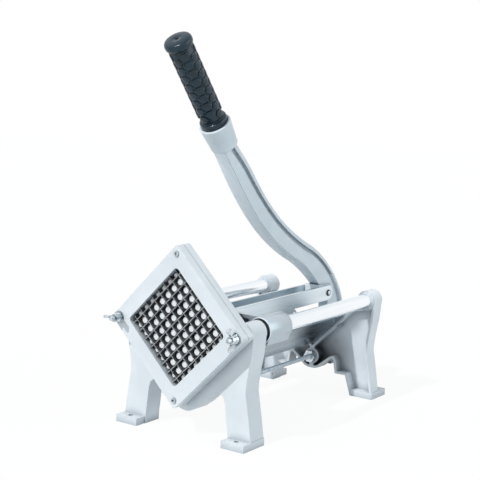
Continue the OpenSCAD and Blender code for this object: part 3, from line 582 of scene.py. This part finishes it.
def sleeve_mouths():
    """Dark ring of painted shade inside the front of each sleeve, and a lip with painted light
    round it.
    """
    recess, lip = bmesh.new(), bmesh.new()
    for node in ("guide_rod_left", "guide_rod_right"):
        low, high = corners_of(node)
        middle = (low + high) / 2
        place = along((middle.x, SLEEVE_FRONT * MM, middle.z), (0, -1, 0))
        lathe(recess, place, [(14.6 * MM, -0.2 * MM), (14.6 * MM, 0.15 * MM),
                              (9.9 * MM, 0.15 * MM), (9.9 * MM, -0.2 * MM)], sides=48)
        lathe(lip, place, [(14.7 * MM, -0.2 * MM), (14.8 * MM, 0.9 * MM), (15.4 * MM, 1.2 * MM),
                           (16.0 * MM, 0.7 * MM), (16.2 * MM, -0.2 * MM)], sides=48)
    mesh_object("sleeve_mouth_painted_shade", recess, PAINTED_DEEP_SHADE, "pusher")
    smooth(mesh_object("sleeve_lips", lip, LEVER_PAINTED_LIGHT, "pusher"))


def contour(curves, steps=18):
    """Points (y, z) in mm along two joined cubic curves."""
    points = []
    for curve, first in zip(curves, (0, 1)):
        for k in range(first, steps + 1):
            t = k / steps
            weights = ((1 - t) ** 3, 3 * t * (1 - t) ** 2, 3 * t * t * (1 - t), t ** 3)
            points.append(Vector((
                LINK_PIN[0] + LEVER_REACH * sum(w * p[0] for w, p in zip(weights, curve)),
                LINK_PIN[1] + LEVER_RISE * sum(w * p[1] for w, p in zip(weights, curve)))))
    return points


def lever_arm():
    """The lever's arm: flat front, parting line, side recess and flange along its back."""
    front, rear = contour(FRONT_CURVES), contour(REAR_CURVES)
    section = list(ARM_SECTION)
    section += [(-x, side, d) for x, side, d in reversed(ARM_SECTION[1:-1])]
    bm = bmesh.new()
    rows = []
    for i, (ahead, behind) in enumerate(zip(front, rear)):
        across = (behind - ahead).normalized()
        share = i / (len(front) - 1)
        high_taper = TOP_TAPER * max(0, 1 - share / TOP_TAPER_END)
        low_taper = LOW_TAPER * max(0, (share - LOW_TAPER_START) / (1 - LOW_TAPER_START))
        narrow = 1 - high_taper - low_taper
        start = max(0, 1 - share / FLANGE_START)
        row = []
        for x, side, depth in section:
            if side == "front":
                point = ahead + across * depth
            else:
                point = behind - across * (depth + FLANGE_DROP * start)
            flange = abs(x) > FLANGE_FROM
            width = x * (1 - FLANGE_NARROW * start) if flange else x * narrow
            row.append(bm.verts.new(Vector((width, point.x, point.y)) * MM))
        rows.append(row)
    count = len(section)
    for upper, lower in zip(rows, rows[1:]):
        for i in range(count):
            j = (i + 1) % count
            face = bm.faces.new((upper[i], upper[j], lower[j], lower[i]))
            strip = min(i, count - 1 - i)
            # Groove strips take the painted shade, and the flat front strips take the painted
            # light.
            face.material_index = 1 if strip in GROOVES else 2 if strip in FRONT_FACES else 0
    bm.faces.new(rows[0][::-1])
    bm.faces.new(rows[-1])
    bmesh.ops.recalc_face_normals(bm, faces=bm.faces)
    arm = mesh_object("lever_arm_casting", bm, LEVER_PAINT, "lever")
    arm.data.materials.append(LEVER_RECESS_SHADE)
    arm.data.materials.append(LEVER_PAINTED_LIGHT)
    smooth(arm, corner=28)


def lever_hub():
    """The lever's hub and neck, cut from the CAD node below the arm, with painted light on its
    front.
    """
    bm = bmesh.new()
    bm.from_mesh(frame["nodes"]["lever_arm"].data)
    bmesh.ops.remove_doubles(bm, verts=bm.verts, dist=0.001 * MM)
    cut = bmesh.ops.bisect_plane(bm, geom=bm.verts[:] + bm.edges[:] + bm.faces[:],
                                 plane_co=(0, 0, HUB_TOP * MM), plane_no=(0, 0, 1),
                                 clear_outer=True)
    rim = [edge for edge in cut["geom_cut"] if isinstance(edge, bmesh.types.BMEdge)]
    bmesh.ops.holes_fill(bm, edges=rim)
    bm.normal_update()
    for face in bm.faces:
        # Faces towards the front take the painted light.
        face.material_index = 1 if face.normal.y < -0.2 else 0
    hub = mesh_object("lever_hub", bm, LEVER_PAINT, "lever")
    hub.data.materials.append(LEVER_PAINTED_LIGHT)
    round_edges(hub, 0.7 * MM)
    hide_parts("lever_arm")


def lever_collar():
    """Tapered round collar that holds the handle tube."""
    profile = [(0, -35.0), (16.2, -35.0), (16.9, -34.6), (17.2, -33.6), (19.9, -1.8), (19.9, -1.0),
               (19.4, -0.3), (18.6, 0), (17.3, 0), (16.7, -0.4), (11.2, -0.4), (11.2, -28.0),
               (0, -28.0)]
    bm = bmesh.new()
    lathe(bm, handle_matrix(), [(r * MM, h * MM) for r, h in profile], sides=64)
    collar = mesh_object("lever_collar", bm, LEVER_PAINT, "lever")
    smooth(collar, corner=50)


def rod_collars():
    """Stepped ring round each guide rod where it enters the rear ear."""
    bm = bmesh.new()
    for node in ("guide_rod_left", "guide_rod_right"):
        low, high = corners_of(node)
        middle = (low + high) / 2
        lathe(bm, along((middle.x, EAR_FRONT * MM, middle.z), (0, -1, 0)),
              [(9.5 * MM, -0.5 * MM), (12.2 * MM, -0.5 * MM), (12.2 * MM, 1.6 * MM),
               (11.6 * MM, 2.2 * MM), (10.8 * MM, 2.2 * MM), (10.8 * MM, 3.4 * MM),
               (10.3 * MM, 3.9 * MM), (9.5 * MM, 3.9 * MM)], sides=48)
    mesh_object("rod_collars", bm, MATERIALS["cast_body"], "frame")


def casting_marks():
    """Round ejector marks on the web of the rear casting."""
    bm = bmesh.new()
    for side in (-1, 1):
        for x, z, radius in EJECTOR_MARKS:
            lathe(bm, along((side * x * MM, (REAR_WEB + 0.2) * MM, z * MM), (0, -1, 0)),
                  [(radius * MM, 0), (radius * MM, 0.5 * MM), (radius * 0.86 * MM, 0.7 * MM),
                   (radius * 0.78 * MM, 0.35 * MM), (0, 0.35 * MM)])
    mesh_object("casting_marks", bm, REAR_PAINT, "frame")


# Stage, light and camera

def seen_ray(tree):
    """1 for camera, glossy and transmission rays, and 0 for the rays that light things."""
    rays = tree.nodes.new("ShaderNodeLightPath")
    total = rays.outputs["Is Camera Ray"]
    for kind in ("Is Glossy Ray", "Is Transmission Ray"):
        larger = tree.nodes.new("ShaderNodeMath")
        larger.operation = "MAXIMUM"
        tree.links.new(total, larger.inputs[0])
        tree.links.new(rays.outputs[kind], larger.inputs[1])
        total = larger.outputs[0]
    return total


def white_by_ray(tree, shader_output, share):
    """Shows part white to camera, glossy and transmission rays, and keeps the shadows."""
    emission = tree.nodes.new("ShaderNodeEmission")
    emission.inputs["Color"].default_value = (1, 1, 1, 1)
    emission.inputs["Strength"].default_value = 1.0
    amount = tree.nodes.new("ShaderNodeMath")
    amount.operation = "MULTIPLY"
    amount.inputs[1].default_value = share
    tree.links.new(seen_ray(tree), amount.inputs[0])
    mix = tree.nodes.new("ShaderNodeMixShader")
    tree.links.new(amount.outputs[0], mix.inputs["Fac"])
    tree.links.new(shader_output, mix.inputs[1])
    tree.links.new(emission.outputs[0], mix.inputs[2])
    return mix.outputs[0]


def stage_floor():
    """Round white floor, which throws less light back than the camera sees."""
    bm = bmesh.new()
    bmesh.ops.create_circle(bm, cap_ends=True, segments=96, radius=6.0)
    mesh = bpy.data.meshes.new("floor")
    bm.to_mesh(mesh)
    bm.free()
    floor = bpy.data.objects.new("floor", mesh)
    bpy.context.scene.collection.objects.link(floor)
    material, tree, shader = new_material("floor_white")
    shader.inputs["Base Color"].default_value = (1, 1, 1, 1)
    shader.inputs["Roughness"].default_value = 0.9
    shader.inputs["Specular IOR Level"].default_value = 0.1
    bounce = tree.nodes.new("ShaderNodeBsdfDiffuse")
    bounce.inputs["Color"].default_value = (0.66, 0.69, 0.71, 1)
    mix = tree.nodes.new("ShaderNodeMixShader")
    tree.links.new(seen_ray(tree), mix.inputs["Fac"])
    tree.links.new(bounce.outputs[0], mix.inputs[1])
    tree.links.new(shader.outputs[0], mix.inputs[2])
    output = tree.nodes["Material Output"]
    tree.links.new(white_by_ray(tree, mix.outputs[0], 0.92), output.inputs["Surface"])
    mesh.materials.append(material)


def world_light(low, high, towards):
    """Soft studio light, brighter from one direction; white where the camera sees it."""
    world = bpy.data.worlds.new("studio")
    bpy.context.scene.world = world
    world.use_nodes = True
    tree = world.node_tree
    coords = tree.nodes.new("ShaderNodeTexCoord")
    facing = tree.nodes.new("ShaderNodeVectorMath")
    facing.operation = "DOT_PRODUCT"
    facing.inputs[1].default_value = Vector(towards).normalized()
    tree.links.new(coords.outputs["Generated"], facing.inputs[0])
    share = tree.nodes.new("ShaderNodeMapRange")
    share.inputs["From Min"].default_value = -1
    share.inputs["To Min"].default_value = low
    share.inputs["To Max"].default_value = high
    tree.links.new(facing.outputs["Value"], share.inputs["Value"])
    background = tree.nodes["Background"]
    background.inputs["Color"].default_value = (0.93, 0.97, 1.0, 1)
    tree.links.new(share.outputs["Result"], background.inputs["Strength"])
    white = tree.nodes.new("ShaderNodeBackground")
    white.inputs["Color"].default_value = (1, 1, 1, 1)
    white.inputs["Strength"].default_value = 1.0
    mix = tree.nodes.new("ShaderNodeMixShader")
    tree.links.new(seen_ray(tree), mix.inputs["Fac"])
    tree.links.new(background.outputs[0], mix.inputs[1])
    tree.links.new(white.outputs[0], mix.inputs[2])
    tree.links.new(mix.outputs[0], tree.nodes["World Output"].inputs["Surface"])


def sun_lamp(name, direction, strength, angle, colour):
    """Sun that shines along a direction; a wide angle in degrees makes it soft."""
    lamp = bpy.data.lights.new(name, "SUN")
    lamp.energy = strength
    lamp.angle = math.radians(angle)
    lamp.color = colour
    sun = bpy.data.objects.new(name, lamp)
    bpy.context.scene.collection.objects.link(sun)
    sun.rotation_euler = Vector(direction).to_track_quat("-Z", "Y").to_euler()


def camera():
    """The photograph's view, worked out from the square blade holder's four corners."""
    data = bpy.data.cameras.new("camera")
    data.lens = 87.55
    data.sensor_width = 36.0
    data.clip_end = 20.0
    cam = bpy.data.objects.new("camera", data)
    bpy.context.scene.collection.objects.link(cam)
    right = Vector((0.8084, 0.5880, 0.0269)).normalized()
    forward = Vector((-0.5791, 0.8027, -0.1423)).normalized()
    up = right.cross(forward).normalized()
    right = forward.cross(up).normalized()
    turn = Matrix((right, up, -forward)).transposed().to_4x4()
    cam.matrix_world = Matrix.Translation((0.8527, -1.2310, 0.4378)) @ turn
    bpy.context.scene.camera = cam


bpy.context.scene.view_settings.view_transform = "Standard"
camera()
dress_nodes()
for edge_width, names in ROUNDED:
    for name in names:
        round_edges(frame["nodes"][name], edge_width * MM)
for name in BLADES:
    ground_thin(frame["nodes"][name], BLADE_GRIND)
grip_pads()
grip_body()
tie_rod_thread()
stud_threads()
cross_screws()
open_crosshead()
sleeve_mouths()
lever_arm()
lever_hub()
lever_collar()
rod_collars()
pin_heads("link_rear_pin", "lever")
pin_heads("link_front_pin", "links")
casting_marks()
stage_floor()
world_light(0.16, 0.80, (-0.12, -0.98, 0.1))
sun_lamp("key", (0.139, 0.686, -0.715), 1.8, 2.0, (1.0, 1.0, 1.0))
sun_lamp("side", (-0.88, -0.30, -0.36), 0.78, 50.0, (0.84, 0.95, 1.0))
